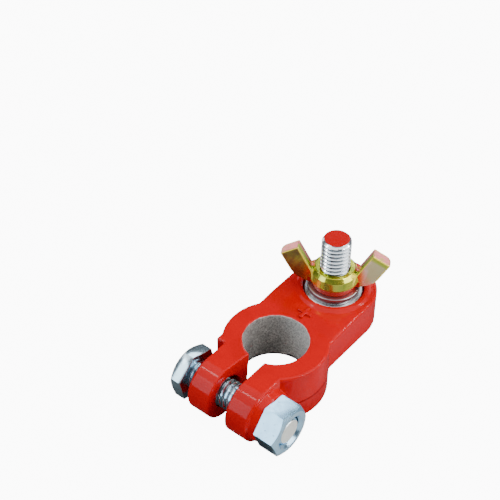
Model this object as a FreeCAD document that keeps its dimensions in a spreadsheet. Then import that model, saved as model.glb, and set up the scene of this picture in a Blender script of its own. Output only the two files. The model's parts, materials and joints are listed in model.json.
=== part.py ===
import FreeCAD, Part
import os
import Sketcher

# Battery terminal clamp for a tapered post, in millimetres
# Origin: bore axis at the underside. +Z up the bore, +Y towards the stud, clamp bolt along X

doc = FreeCAD.newDocument("battery_terminal_clamp")
sheet = doc.addObject("Spreadsheet::Sheet", "Sizes")

SIZES = {
    # Ring around the battery post
    "ring_radius": 14.1,
    "ring_height": 16.0,
    "bore_top_radius": 8.65,
    "bore_bottom_radius": 9.55,
    "bore_edge": 0.2,
    # Jaws and the slot between them
    "jaw_left": 9.6,
    "jaw_right": 9.45,
    "slot_left_back": 2.15,
    "slot_left_front": 3.0,
    "slot_right": 2.75,
    "clamp_offset": 16.2,
    "clamp_hole_radius": 4.6,
    "boss_base_radius": 7.2,
    "boss_top_radius": 6.7,
    "boss_rise": 2.25,
    # Stop block that keeps the seated bolt head from turning
    "stop_reach": 12.15,
    "stop_face": 9.3,
    # Stud lug
    "stud_offset": 25.0,
    "lug_radius": 11.8,
    "lug_bottom": 6.3,
    "neck_slope_start": 9.0,
    "lug_rise": 0.4,
    "rim_outer_radius": 10.4,
    "rim_top_radius": 9.3,
    "rim_rise": 0.5,
    "recess_depth": 2.4,
    "washer_fit": 0.3,
    "stud_hole_radius": 4.4,
    "head_pocket_depth": 2.5,
    "head_pocket_fit": 0.15,
    # Rounding of the casting
    "edge_round": 0.45,
    "crease_round": 0.6,
    "rim_round": 0.35,
    # Threads are plain cylinders of the thread's outer size
    "thread_radius": 4.0,
    "thread_play": 0.05,
    "thread_chamfer": 0.75,
    # Hexagon heads
    "head_flats": 13.0,
    "clamp_head_height": 4.1,
    "clamp_head_crown": 5.7,
    "stud_head_height": 5.3,
    "clamp_bolt_length": 30.0,
    "clamp_head_gap": 2.8,
    "clamp_head_turn": 12.0,
    "bolt_lie": 0.45,
    "stud_bolt_length": 25.0,
    # Clamp nut
    "nut_flats": 12.6,
    "nut_height": 6.3,
    "nut_turn": 21.0,
    "nut_chamfer": 0.75,
    "seat_gap": 0.02,
    # Washers
    "washer_radius": 8.0,
    "washer_thickness": 1.6,
    "washer_hole_radius": 4.2,
    "spring_radius": 7.1,
    "spring_hole_radius": 4.15,
    "spring_thickness": 2.0,
    "spring_slit": 1.2,
    # Wing nut
    "collar_base_radius": 5.9,
    "collar_flare_radius": 6.7,
    "collar_flare_height": 2.5,
    "collar_shoulder_radius": 6.15,
    "collar_shoulder_height": 4.7,
    "collar_top_radius": 5.3,
    "collar_height": 5.8,
    "wing_thickness": 3.3,
    "wing_turn": 29.3,
    "wing_foot_reach": 6.9,
    "wing_foot_height": 0.5,
    "wing_tip_reach": 14.6,
    "wing_tip_height": 9.4,
    "wing_top_reach": 9.9,
    "wing_top_height": 12.3,
    "wing_root_reach": 5.6,
    "wing_root_height": 3.9,
    "wing_elbow_reach": 10.9,
    "wing_elbow_height": 2.4,
    "wing_elbow_round": 6.0,
    "wing_back_round": 1.5,
    "wing_edge": 0.3,
}

for row, (alias, value) in enumerate(SIZES.items(), start=1):
    sheet.set("A%d" % row, alias)
    sheet.set("B%d" % row, str(value))
    sheet.setAlias("B%d" % row, alias)
doc.recompute()

CLAMP_HEIGHT = "Sizes.ring_height / 2"
LUG_TOP = "Sizes.ring_height + Sizes.lug_rise"
SEAT_HEIGHT = LUG_TOP + " + Sizes.rim_rise - Sizes.recess_depth"
HEAD_SEAT = "Sizes.lug_bottom + Sizes.head_pocket_depth"
SPRING_SEAT = SEAT_HEIGHT + " + Sizes.washer_thickness"
WING_SEAT = SPRING_SEAT + " + Sizes.spring_thickness"
NUT_SEAT = "Sizes.jaw_right + Sizes.boss_rise"
# The clamp bolt lies forward of its hole's middle
BOLT_OFFSET = "(Sizes.clamp_offset + Sizes.bolt_lie)"


# Helpers for bodies, sketches and features

def new_body(label):
    body = doc.addObject("PartDesign::Body", label)
    body.Label = label
    return body


def new_sketch(body, name, role, base=("0", "0", "0"), turn="0"):
    """A sketch on one of the body's own origin planes, moved and turned in that plane."""
    sketch = body.newObject("Sketcher::SketchObject", name)
    plane = [item for item in body.Origin.OriginFeatures if item.Role == role][0]
    sketch.AttachmentSupport = [(plane, "")]
    sketch.MapMode = "FlatFace"
    for axis, expression in zip("xyz", base):
        sketch.setExpression("AttachmentOffset.Base." + axis, expression)
    sketch.AttachmentOffset.Rotation = FreeCAD.Rotation(FreeCAD.Vector(0, 0, 1), 1)
    sketch.setExpression("AttachmentOffset.Rotation.Angle", "(" + turn + ") * 1 deg")
    return sketch


def bind(sketch, constraint, expression):
    index = sketch.addConstraint(constraint)
    sketch.setExpression("Constraints[%d]" % index, expression)


def draw_corners(sketch, corners):
    """A closed outline whose corners are bound to the sheet one by one."""
    count = len(corners)
    rough = [FreeCAD.Rotation(FreeCAD.Vector(0, 0, 1), 360.0 * number / count) for number in range(count)]
    points = [turn.multVec(FreeCAD.Vector(10, 0, 0)) for turn in rough]
    first = sketch.GeometryCount
    for number in range(count):
        sketch.addGeometry(Part.LineSegment(points[number], points[(number + 1) % count]))
    for number in range(count):
        following = first + (number + 1) % count
        sketch.addConstraint(Sketcher.Constraint("Coincident", first + number, 2, following, 1))
    for number, (along, across) in enumerate(corners):
        bind(sketch, Sketcher.Constraint("DistanceX", -1, 1, first + number, 1, points[number].x), along)
        bind(sketch, Sketcher.Constraint("DistanceY", -1, 1, first + number, 1, points[number].y), across)


def draw_circle(sketch, radius):
    circle = sketch.addGeometry(Part.Circle(FreeCAD.Vector(0, 0, 0), FreeCAD.Vector(0, 0, 1), 5))
    sketch.addConstraint(Sketcher.Constraint("Coincident", circle, 3, -1, 1))
    bind(sketch, Sketcher.Constraint("Radius", circle, 5.0), radius)


def draw_hexagon(sketch, flats):
    """A hexagon about the sketch's origin, one flat facing along the sketch's first axis."""
    half = flats + " / 2"
    side = flats + " / sqrt(3) / 2"
    corner = flats + " / sqrt(3)"
    draw_corners(sketch, [
        (half, "-" + side), (half, side), ("0", corner),
        ("-" + half, side), ("-" + half, "-" + side), ("0", "-" + corner),
    ])


def extrude(body, name, sketch, length, kind="Pad", backwards=False):
    feature = body.newObject("PartDesign::" + kind, name)
    feature.Profile = sketch
    feature.Reversed = backwards
    feature.setExpression("Length", length)
    sketch.Visibility = False
    doc.recompute()
    return feature


def spin(body, name, sketch, axis, kind="Revolution"):
    feature = body.newObject("PartDesign::" + kind, name)
    feature.Profile = sketch
    feature.ReferenceAxis = (sketch, [axis])
    feature.Angle = 360
    sketch.Visibility = False
    doc.recompute()
    return feature


def size(alias):
    return float(sheet.get(alias))


def soften(body, name, kind, base, chosen, amount):
    """A fillet or chamfer on the edges of the base feature that the test picks."""
    names = ["Edge%d" % (number + 1) for number, edge in enumerate(base.Shape.Edges) if chosen(edge)]
    feature = body.newObject("PartDesign::" + kind, name)
    feature.Base = (base, names)
    feature.setExpression("Radius" if kind == "Fillet" else "Size", amount)
    doc.recompute()
    return feature


def ends_at(edge, axis, place, slack=0.01):
    """True where the whole edge lies in the plane at this place on the axis."""
    box = edge.BoundBox
    low = getattr(box, axis + "Min")
    high = getattr(box, axis + "Max")
    return abs(low - place) < slack and abs(high - place) < slack


def is_sharp(shape, edge):
    """True where the two faces beside an edge meet at an angle."""
    middle = edge.valueAt((edge.FirstParameter + edge.LastParameter) / 2)
    normals = []
    for face in shape.ancestorsOfType(edge, Part.Face):
        normals.append(face.normalAt(*face.Surface.parameter(middle)))
    return len(normals) == 2 and normals[0].getAngle(normals[1]) > 0.1


# Clamp body: one casting of split ring, jaws and stud lug

def ring(body):
    sketch = new_sketch(body, "ring_outline", "XY_Plane")
    draw_circle(sketch, "Sizes.ring_radius")
    return extrude(body, "ring", sketch, "Sizes.ring_height")


def lug(body):
    """The neck rises a little behind the bore and ends in a half-round lug."""
    sketch = new_sketch(body, "neck_profile", "YZ_Plane", ("0", "0", "-Sizes.lug_radius"))
    draw_corners(sketch, [
        ("0", "Sizes.lug_bottom"), ("Sizes.stud_offset", "Sizes.lug_bottom"),
        ("Sizes.stud_offset", LUG_TOP), ("Sizes.stud_offset - Sizes.lug_radius", LUG_TOP),
        ("Sizes.neck_slope_start", "Sizes.ring_height"), ("0", "Sizes.ring_height"),
    ])
    extrude(body, "neck", sketch, "2 * Sizes.lug_radius")
    base = ("0", "Sizes.stud_offset", "Sizes.lug_bottom")
    sketch = new_sketch(body, "lug_end_outline", "XY_Plane", base)
    draw_circle(sketch, "Sizes.lug_radius")
    return extrude(body, "lug_end", sketch, LUG_TOP + " - Sizes.lug_bottom")


def jaws(body):
    base = ("0", "0", "-Sizes.jaw_left")
    width = "Sizes.jaw_left + Sizes.jaw_right"
    sketch = new_sketch(body, "jaw_profile", "YZ_Plane", base)
    back = "-Sizes.bore_top_radius"
    draw_corners(sketch, [
        ("-Sizes.clamp_offset", "0"), (back, "0"),
        (back, "Sizes.ring_height"), ("-Sizes.clamp_offset", "Sizes.ring_height"),
    ])
    extrude(body, "jaw_block", sketch, width)
    base = ("-Sizes.clamp_offset", CLAMP_HEIGHT, "-Sizes.jaw_left")
    sketch = new_sketch(body, "jaw_nose_profile", "YZ_Plane", base)
    draw_circle(sketch, CLAMP_HEIGHT)
    return extrude(body, "jaw_noses", sketch, width)


def stop_block(body):
    sketch = new_sketch(body, "stop_outline", "XY_Plane")
    inside = "-Sizes.stop_reach / 3"
    draw_corners(sketch, [
        ("-Sizes.stop_reach", "-Sizes.stop_face"), (inside, "-Sizes.stop_face"),
        (inside, inside), ("-Sizes.stop_reach", inside),
    ])
    extrude(body, "stop_block", sketch, "Sizes.ring_height")
    sketch = new_sketch(body, "head_seat_outline", "XY_Plane")
    front = "-Sizes.clamp_offset - Sizes.ring_height"
    draw_corners(sketch, [
        ("-Sizes.jaw_left", "-Sizes.stop_face"), ("-Sizes.jaw_left", front),
        ("-2 * Sizes.ring_radius", front), ("-2 * Sizes.ring_radius", "-Sizes.stop_face"),
    ])
    return extrude(body, "head_seat", sketch, "Sizes.ring_height", "Pocket", True)


def round_casting(body, base):
    """Rounds the creases beside the neck, then the outlines of the top and the ring's underside."""
    neck_side = size("lug_radius")
    crease_at = (size("ring_radius") ** 2 - neck_side ** 2) ** 0.5

    def is_crease(edge):
        box = edge.BoundBox
        upright = box.XLength < 0.01 and box.YLength < 0.01 and box.ZLength > 1
        return upright and abs(abs(box.XMin) - neck_side) < 0.01 and abs(box.YMin - crease_at) < 0.01

    base = soften(body, "neck_creases", "Fillet", base, is_crease, "Sizes.crease_round")
    seams = [-size("clamp_offset"), size("neck_slope_start"), size("stud_offset") - neck_side]

    def is_outline(edge):
        box = edge.BoundBox
        seam = any(ends_at(edge, "Y", place) for place in seams)
        level = box.ZMin > size("ring_height") - 0.01 or box.ZMax < 0.01
        return level and not seam

    def is_nose(edge):
        return ends_at(edge, "X", size("jaw_right")) or ends_at(edge, "X", -size("jaw_left"))

    def is_outer(edge):
        nose = is_nose(edge) and edge.BoundBox.YMin < -size("clamp_offset") - 0.01
        return is_outline(edge) or nose

    return soften(body, "outline_edges", "Fillet", base, is_outer, "Sizes.edge_round")


def boss(body):
    base = ("0", CLAMP_HEIGHT, "Sizes.clamp_offset")
    sketch = new_sketch(body, "boss_profile", "XZ_Plane", base)
    inside = "Sizes.jaw_right / 2"
    draw_corners(sketch, [
        (inside, "0"), (inside, "Sizes.boss_base_radius"),
        ("Sizes.jaw_right", "Sizes.boss_base_radius"),
        (NUT_SEAT, "Sizes.boss_top_radius"), (NUT_SEAT, "0"),
    ])
    base = spin(body, "nut_boss", sketch, "H_Axis")
    face = size("jaw_right") + size("boss_rise")
    return soften(body, "boss_edge", "Fillet", base, lambda edge: ends_at(edge, "X", face), "Sizes.rim_round")


def rim(body):
    base = ("0", LUG_TOP, "-Sizes.stud_offset")
    sketch = new_sketch(body, "rim_profile", "XZ_Plane", base)
    draw_corners(sketch, [
        ("0", "-Sizes.rim_rise"), ("Sizes.rim_outer_radius", "-Sizes.rim_rise"),
        ("Sizes.rim_outer_radius", "0"), ("Sizes.rim_top_radius", "Sizes.rim_rise"),
        ("0", "Sizes.rim_rise"),
    ])
    base = spin(body, "washer_rim", sketch, "V_Axis")
    top = size("ring_height") + size("lug_rise") + size("rim_rise")
    return soften(body, "rim_edge", "Fillet", base, lambda edge: ends_at(edge, "Z", top), "Sizes.rim_round")


def cut_slot(body):
    sketch = new_sketch(body, "slot_outline", "XY_Plane")
    far = "-Sizes.clamp_offset - Sizes.ring_height"
    draw_corners(sketch, [
        ("Sizes.slot_right", "0"), ("-Sizes.slot_left_back", "0"),
        ("-Sizes.slot_left_back", "-Sizes.bore_top_radius"),
        ("-Sizes.slot_left_front", "-Sizes.clamp_offset"),
        ("-Sizes.slot_left_front", far), ("Sizes.slot_right", far),
    ])
    return extrude(body, "slot", sketch, "Sizes.ring_height", "Pocket", True)


def cut_bore(body):
    """The bore tapers with the post and is bevelled at both ends."""
    sketch = new_sketch(body, "bore_profile", "XZ_Plane")
    top = "Sizes.ring_height"
    draw_corners(sketch, [
        ("0", "0"), ("Sizes.bore_bottom_radius + Sizes.bore_edge", "0"),
        ("Sizes.bore_bottom_radius", "Sizes.bore_edge"),
        ("Sizes.bore_top_radius", top + " - Sizes.bore_edge"),
        ("Sizes.bore_top_radius + Sizes.bore_edge", top), ("0", top),
    ])
    return spin(body, "post_bore", sketch, "V_Axis", "Groove")


def cut_clamp_hole(body):
    base = ("-Sizes.clamp_offset", CLAMP_HEIGHT, "-Sizes.jaw_left")
    sketch = new_sketch(body, "clamp_hole_outline", "YZ_Plane", base)
    draw_circle(sketch, "Sizes.clamp_hole_radius")
    length = "Sizes.jaw_left + " + NUT_SEAT
    return extrude(body, "clamp_hole", sketch, length, "Pocket", True)


def cut_stud_seat(body):
    base = ("0", "Sizes.stud_offset", SEAT_HEIGHT)
    sketch = new_sketch(body, "recess_outline", "XY_Plane", base)
    draw_circle(sketch, "Sizes.washer_radius + Sizes.washer_fit")
    extrude(body, "washer_recess", sketch, "Sizes.recess_depth", "Pocket", True)
    base = ("0", "Sizes.stud_offset", "0")
    sketch = new_sketch(body, "stud_hole_outline", "XY_Plane", base)
    draw_circle(sketch, "Sizes.stud_hole_radius")
    extrude(body, "stud_hole", sketch, SEAT_HEIGHT, "Pocket", True)
    base = ("0", "Sizes.stud_offset", "Sizes.lug_bottom")
    sketch = new_sketch(body, "head_pocket_outline", "XY_Plane", base)
    draw_hexagon(sketch, "(Sizes.head_flats + 2 * Sizes.head_pocket_fit)")
    return extrude(body, "head_pocket", sketch, "Sizes.head_pocket_depth", "Pocket", True)


def clamp_body():
    body = new_body("clamp_body")
    ring(body)
    lug(body)
    jaws(body)
    base = stop_block(body)
    round_casting(body, base)
    rim(body)
    boss(body)
    cut_slot(body)
    cut_bore(body)
    cut_clamp_hole(body)
    cut_stud_seat(body)
    return body


# Fasteners

def crown_cut(body, name, base, face, inward, radius, flats):
    """Takes the corners off one end of a hexagon at 30 degrees, turned about the clamp axis."""
    sketch = new_sketch(body, name + "_profile", "XZ_Plane", base)
    slope = "(" + flats + " - " + radius + ") / sqrt(3)"
    draw_corners(sketch, [
        (face, radius), (face, flats), (face + inward + slope, flats),
    ])
    return spin(body, name, sketch, "H_Axis", "Groove")


def clamp_bolt():
    body = new_body("clamp_bolt")
    seat = "-Sizes.jaw_left - Sizes.clamp_head_gap"
    axis = ("-" + BOLT_OFFSET, CLAMP_HEIGHT)
    sketch = new_sketch(body, "shank_outline", "YZ_Plane", axis + (seat,))
    draw_circle(sketch, "Sizes.thread_radius")
    shank = extrude(body, "shank", sketch, "Sizes.clamp_bolt_length")
    end = -size("jaw_left") - size("clamp_head_gap") + size("clamp_bolt_length")
    soften(body, "thread_end", "Chamfer", shank, lambda edge: ends_at(edge, "X", end), "Sizes.thread_chamfer")
    turn = "Sizes.clamp_head_turn"
    sketch = new_sketch(body, "head_outline", "YZ_Plane", axis + (seat,), turn)
    draw_hexagon(sketch, "Sizes.head_flats")
    extrude(body, "head", sketch, "Sizes.clamp_head_height", "Pad", True)
    base = ("0", CLAMP_HEIGHT, BOLT_OFFSET)
    outer = seat + " - Sizes.clamp_head_height"
    crown_cut(body, "head_crown", base, outer, " + ", "Sizes.clamp_head_crown", "Sizes.head_flats")
    return body


def hex_nut():
    body = new_body("hex_nut")
    seat = NUT_SEAT + " + Sizes.seat_gap"
    axis = ("-" + BOLT_OFFSET, CLAMP_HEIGHT)
    sketch = new_sketch(body, "nut_outline", "YZ_Plane", axis + (seat,), "Sizes.nut_turn")
    draw_hexagon(sketch, "Sizes.nut_flats")
    extrude(body, "nut", sketch, "Sizes.nut_height")
    base = ("0", CLAMP_HEIGHT, BOLT_OFFSET)
    crown = "Sizes.nut_flats * 0.48"
    crown_cut(body, "outer_crown", base, seat + " + Sizes.nut_height", " - ", crown, "Sizes.nut_flats")
    crown_cut(body, "inner_crown", base, seat, " + ", crown, "Sizes.nut_flats")
    sketch = new_sketch(body, "nut_hole_profile", "XZ_Plane", base)
    hole = "Sizes.thread_radius + Sizes.thread_play"
    wide = hole + " + Sizes.nut_chamfer"
    outer = seat + " + Sizes.nut_height"
    draw_corners(sketch, [
        (seat, "0"), (seat, wide), (seat + " + Sizes.nut_chamfer", hole),
        (outer + " - Sizes.nut_chamfer", hole), (outer, wide), (outer, "0"),
    ])
    spin(body, "nut_hole", sketch, "H_Axis", "Groove")
    return body


def stud_bolt():
    body = new_body("stud_bolt")
    base = ("0", "Sizes.stud_offset", HEAD_SEAT)
    sketch = new_sketch(body, "stud_outline", "XY_Plane", base)
    draw_circle(sketch, "Sizes.thread_radius")
    shank = extrude(body, "stud", sketch, "Sizes.stud_bolt_length")
    end = size("lug_bottom") + size("head_pocket_depth") + size("stud_bolt_length")
    soften(body, "thread_end", "Chamfer", shank, lambda edge: ends_at(edge, "Z", end), "Sizes.thread_chamfer")
    sketch = new_sketch(body, "head_outline", "XY_Plane", base)
    draw_hexagon(sketch, "Sizes.head_flats")
    extrude(body, "head", sketch, "Sizes.stud_head_height", "Pad", True)
    return body


def flat_washer():
    body = new_body("flat_washer")
    base = ("0", "Sizes.stud_offset", SEAT_HEIGHT)
    sketch = new_sketch(body, "washer_outline", "XY_Plane", base)
    draw_circle(sketch, "Sizes.washer_radius")
    draw_circle(sketch, "Sizes.washer_hole_radius")
    extrude(body, "washer", sketch, "Sizes.washer_thickness")
    return body


def spring_washer():
    body = new_body("spring_washer")
    base = ("0", "Sizes.stud_offset", SPRING_SEAT)
    sketch = new_sketch(body, "spring_outline", "XY_Plane", base)
    draw_circle(sketch, "Sizes.spring_radius")
    draw_circle(sketch, "Sizes.spring_hole_radius")
    extrude(body, "spring_ring", sketch, "Sizes.spring_thickness")
    base = ("0", "Sizes.stud_offset", SPRING_SEAT)
    sketch = new_sketch(body, "slit_outline", "XY_Plane", base)
    half = "Sizes.spring_slit / 2"
    draw_corners(sketch, [
        ("-" + half, "0"), (half, "0"),
        (half, "2 * Sizes.spring_radius"), ("-" + half, "2 * Sizes.spring_radius"),
    ])
    extrude(body, "slit", sketch, "Sizes.spring_thickness", "Pocket", True)
    return body


def wing_nut():
    """Both wings as one plate, then the collar round them, built from the seat up."""
    body = new_body("wing_nut")
    sketch = new_sketch(body, "wing_outline", "XZ_Plane", ("0", "0", "-Sizes.wing_thickness / 2"))
    one_wing = [
        ("Sizes.wing_foot_reach", "Sizes.wing_foot_height"),
        ("Sizes.wing_elbow_reach", "Sizes.wing_elbow_height"),
        ("Sizes.wing_tip_reach", "Sizes.wing_tip_height"),
        ("Sizes.wing_top_reach", "Sizes.wing_top_height"),
        ("Sizes.wing_root_reach", "Sizes.wing_root_height"),
    ]
    other_wing = [("-" + reach, height) for reach, height in reversed(one_wing)]
    draw_corners(sketch, one_wing + other_wing)
    base = extrude(body, "wings", sketch, "Sizes.wing_thickness")

    def is_elbow(edge):
        box = edge.BoundBox
        through = abs(box.YLength - size("wing_thickness")) < 0.1 and box.XLength < 0.1
        placed = abs(abs(box.XMin) - size("wing_elbow_reach")) < 0.05
        return through and placed and abs(box.ZMin - size("wing_elbow_height")) < 0.05

    base = soften(body, "wing_elbows", "Fillet", base, is_elbow, "Sizes.wing_elbow_round")

    def is_back_edge(edge):
        """True along a wing's outer side, from the foot round the elbow to the tip, at the back."""
        box = edge.BoundBox
        at_back = ends_at(edge, "Y", size("wing_thickness") / 2)
        below_tip = box.ZMax < size("wing_tip_height") + 0.05
        return at_back and below_tip and max(abs(box.XMin), abs(box.XMax)) > size("wing_foot_reach") + 0.05

    base = soften(body, "wing_backs", "Fillet", base, is_back_edge, "Sizes.wing_back_round")
    rounded = base.Shape

    def is_wing_edge(edge):
        reach = max(abs(edge.BoundBox.XMin), abs(edge.BoundBox.XMax))
        return reach > size("wing_foot_reach") + 0.05 and is_sharp(rounded, edge)

    soften(body, "wing_edges", "Fillet", base, is_wing_edge, "Sizes.wing_edge")
    sketch = new_sketch(body, "collar_profile", "XZ_Plane")
    draw_corners(sketch, [
        ("0", "0"), ("Sizes.collar_base_radius", "0"),
        ("Sizes.collar_flare_radius", "Sizes.collar_flare_height"),
        ("Sizes.collar_shoulder_radius", "Sizes.collar_shoulder_height"),
        ("Sizes.collar_top_radius", "Sizes.collar_height"), ("0", "Sizes.collar_height"),
    ])
    spin(body, "collar", sketch, "V_Axis")
    sketch = new_sketch(body, "thread_hole_profile", "XZ_Plane")
    hole = "Sizes.thread_radius + Sizes.thread_play"
    wide = hole + " + Sizes.nut_chamfer"
    draw_corners(sketch, [
        ("0", "0"), (wide, "0"), (hole, "Sizes.nut_chamfer"),
        (hole, "Sizes.collar_height"), ("0", "Sizes.collar_height"),
    ])
    spin(body, "thread_hole", sketch, "V_Axis", "Groove")
    body.setExpression("Placement.Base.y", "Sizes.stud_offset")
    body.setExpression("Placement.Base.z", WING_SEAT)
    body.Placement.Rotation = FreeCAD.Rotation(FreeCAD.Vector(0, 0, 1), 1)
    body.setExpression("Placement.Rotation.Angle", "Sizes.wing_turn * 1 deg")
    return body


parts = [
    clamp_body(),
    clamp_bolt(),
    hex_nut(),
    stud_bolt(),
    flat_washer(),
    spring_washer(),
    wing_nut(),
]
doc.recompute()

for item in doc.Objects:
    if "Invalid" in item.State or "Error" in item.State:
        raise RuntimeError("%s failed: %s" % (item.Name, item.State))
for part in parts:
    if part.Shape.isNull() or not part.Shape.isValid() or len(part.Shape.Solids) != 1:
        raise RuntimeError("%s has no single valid solid" % part.Label)
    print("%s volume %.1f mm3" % (part.Label, part.Shape.Volume))

os.makedirs("parts", exist_ok=True)
for part in parts:
    part.Shape.exportStep("parts/%s.step" % part.Label)
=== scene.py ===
import json
import math

import bpy
from mathutils import Matrix, Vector

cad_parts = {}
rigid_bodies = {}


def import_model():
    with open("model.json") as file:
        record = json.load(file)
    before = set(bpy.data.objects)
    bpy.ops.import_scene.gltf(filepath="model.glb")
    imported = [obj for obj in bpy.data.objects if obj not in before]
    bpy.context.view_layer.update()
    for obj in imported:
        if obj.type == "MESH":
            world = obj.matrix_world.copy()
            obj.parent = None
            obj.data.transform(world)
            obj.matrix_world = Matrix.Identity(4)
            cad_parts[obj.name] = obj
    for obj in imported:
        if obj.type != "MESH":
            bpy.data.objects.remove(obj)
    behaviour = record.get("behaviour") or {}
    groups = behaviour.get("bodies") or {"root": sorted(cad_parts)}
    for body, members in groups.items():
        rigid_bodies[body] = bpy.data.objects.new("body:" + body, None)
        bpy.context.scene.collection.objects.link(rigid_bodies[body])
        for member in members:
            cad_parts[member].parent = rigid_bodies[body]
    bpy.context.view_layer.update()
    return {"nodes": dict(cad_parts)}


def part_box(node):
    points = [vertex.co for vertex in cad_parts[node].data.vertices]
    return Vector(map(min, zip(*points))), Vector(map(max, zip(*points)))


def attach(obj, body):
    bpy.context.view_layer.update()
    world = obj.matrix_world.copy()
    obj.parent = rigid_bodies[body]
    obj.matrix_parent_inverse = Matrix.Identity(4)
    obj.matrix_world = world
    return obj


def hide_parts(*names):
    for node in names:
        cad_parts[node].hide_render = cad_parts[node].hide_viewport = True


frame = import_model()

# Battery terminal clamp, in metres: bore axis up Z, stud towards +Y, clamp bolt along X

mm = 0.001
clear = 1 * mm  # how far a cutter stands past what it cuts
mergeWithin = 0.002 * mm


# Camera, floor and studio light

camera = {
    "turn": 38.38,  # degrees round from the jaws towards the clamp nut
    "height": 42.54,  # degrees above the floor
    "roll": 0.93,
    "distance": 341.8 * mm,
    "aside": -7.10 * mm,
    "raised": 34.69 * mm,
    "lens": 92.33,
    "sensor": 36,
    "near": 0.01,
    "far": 20,
}

studio = {
    "floorSize": 4.0,
    "floorFaces": 8,
    "floorRoughness": 0.9,
    "floorColor": (0.52, 0.52, 0.52, 1),
    "floorGlow": 10.0,  # only the camera sees it, so it keeps the paper white
    # Painted reflection: what glossy metal shows of the floor is painted, darker behind the clamp and before
    # it, lighter beside it and by its nut
    "paintedReflectionBehind": (0.10, 0.11, 0.11, 1),
    "paintedReflectionBefore": (0.07, 0.08, 0.08, 1),
    "paintedReflectionBeside": (0.25, 0.29, 0.31, 1),
    "paintedReflectionByNut": (0.52, 0.54, 0.53, 1),
    "before": (0.0, -30 * mm),  # where each of them begins and is full: away from the camera
    "beside": (14 * mm, 19 * mm),  # along X
    "byNut": (4 * mm, -2 * mm),  # along Y
    "sky": [  # sine of the height above the horizon, brightness and colour
        (0.00, 0.16, (0.90, 0.95, 1.0)),
        (0.50, 0.22, (0.92, 0.96, 1.0)),
        (1.00, 0.36, (0.95, 0.97, 1.0)),
    ],
    "lights": [  # name, place round the clamp, width, height, brightness, colour
        ("overheadBox", (-0.031, 0.039, 0.62), 1.50, 0.66, 1.42, (1.0, 1.0, 1.0)),
        ("frontLeftLight", (-0.38, -0.78, 0.40), 0.44, 0.70, 3.4, (0.78, 0.93, 1.0)),
        ("backLeftLight", (-0.31, 0.67, 0.50), 0.28, 0.23, 4.2, (0.78, 0.92, 1.0)),
        ("rightLight", (0.84, 0.22, 0.36), 0.60, 0.64, 4.4, (1.0, 0.98, 0.96)),
        ("leftLight", (-0.84, 0.28, 0.20), 0.34, 0.30, 1.8, (1.0, 1.0, 1.0)),
        ("backLight", (0.12, 0.82, 0.40), 0.30, 0.30, 1.8, (1.0, 1.0, 1.0)),
        ("backStrip", (0.15, 0.46, 0.63), 0.34, 0.035, 20.0, (1.0, 1.0, 1.0)),
        ("leftStrip", (-0.42, -0.14, 0.66), 0.035, 0.34, 16.0, (1.0, 1.0, 1.0)),
        ("lugEdgeLight", (0.62, 0.52, 0.42), 0.10, 0.20, 34.0, (1.0, 1.0, 1.0)),
        ("ringEdgeLight", (0.66, 0.05, 0.58), 0.10, 0.20, 34.0, (1.0, 1.0, 1.0)),
    ],
}


def placeCamera():
    turn, height, roll = [math.radians(camera[key]) for key in ("turn", "height", "roll")]
    away = Vector((-math.sin(turn), math.cos(turn), 0))
    ahead = away * math.cos(height) - Vector((0, 0, math.sin(height)))
    right = Vector((math.cos(turn), math.sin(turn), 0))
    up = right.cross(ahead)
    target = right * camera["aside"] + up * camera["raised"]
    across = right * math.cos(roll) + up * math.sin(roll)
    upright = up * math.cos(roll) - right * math.sin(roll)
    bpy.ops.object.camera_add(location=(0, 0, 0))
    made = bpy.context.object
    made.name = "photoCamera"
    made.data.sensor_width = camera["sensor"]
    made.data.lens = camera["lens"]
    made.data.clip_start = camera["near"]
    made.data.clip_end = camera["far"]
    facing = Matrix((across, upright, -ahead)).transposed().to_4x4()
    made.matrix_world = Matrix.Translation(target - ahead * camera["distance"]) @ facing
    bpy.context.scene.camera = made


def lightSky():
    world = bpy.data.worlds.new("studioWorld")
    world.use_nodes = True
    tree = world.node_tree
    around = addNode(tree, "ShaderNodeTexCoord").outputs["Generated"]
    x, y, height = axesOf(tree, around)
    ramp = addNode(tree, "ShaderNodeValToRGB", {"Fac": height})
    bands = ramp.color_ramp.elements
    brightest = max(strength for place, strength, color in studio["sky"])
    while len(bands) < len(studio["sky"]):
        bands.new(0.5)
    for band, (place, strength, color) in zip(bands, studio["sky"]):
        band.position = place
        band.color = [part * strength / brightest for part in color] + [1]
    background = tree.nodes["Background"]
    plug(tree, background.inputs["Color"], ramp.outputs["Color"])
    background.inputs["Strength"].default_value = brightest
    bpy.context.scene.world = world


def hangLights():
    for name, place, width, height, brightness, color in studio["lights"]:
        bpy.ops.object.light_add(type="AREA", location=place)
        lamp = bpy.context.object
        lamp.name = name
        lamp.data.shape = "RECTANGLE"
        lamp.data.size = width
        lamp.data.size_y = height
        lamp.data.energy = brightness * math.pi * width * height
        lamp.data.color = color
        lamp.rotation_euler = (-Vector(place)).to_track_quat("-Z", "Y").to_euler()
    print("studio:", len(studio["lights"]), "lights")


def layFloor():
    faces = studio["floorFaces"]
    bpy.ops.mesh.primitive_grid_add(
        x_subdivisions=faces, y_subdivisions=faces, size=studio["floorSize"], location=(0, 0, 0),
    )
    floor = bpy.context.object
    floor.name = "floor"
    floor.data.materials.append(palePaper())


# Mesh helpers

def letGo():
    if bpy.context.mode != "OBJECT":
        bpy.ops.object.mode_set(mode="OBJECT")
    bpy.ops.object.select_all(action="DESELECT")


def takeUp(piece):
    letGo()
    piece.select_set(True)
    bpy.context.view_layer.objects.active = piece


def editAll(piece):
    takeUp(piece)
    bpy.ops.object.mode_set(mode="EDIT")
    bpy.ops.mesh.select_all(action="SELECT")


def doneEditing():
    bpy.ops.object.mode_set(mode="OBJECT")


def tidyMesh(piece):  # merges doubles and turns all faces outwards
    editAll(piece)
    bpy.ops.mesh.remove_doubles(threshold=mergeWithin)
    bpy.ops.mesh.normals_make_consistent(inside=False)
    doneEditing()


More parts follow.
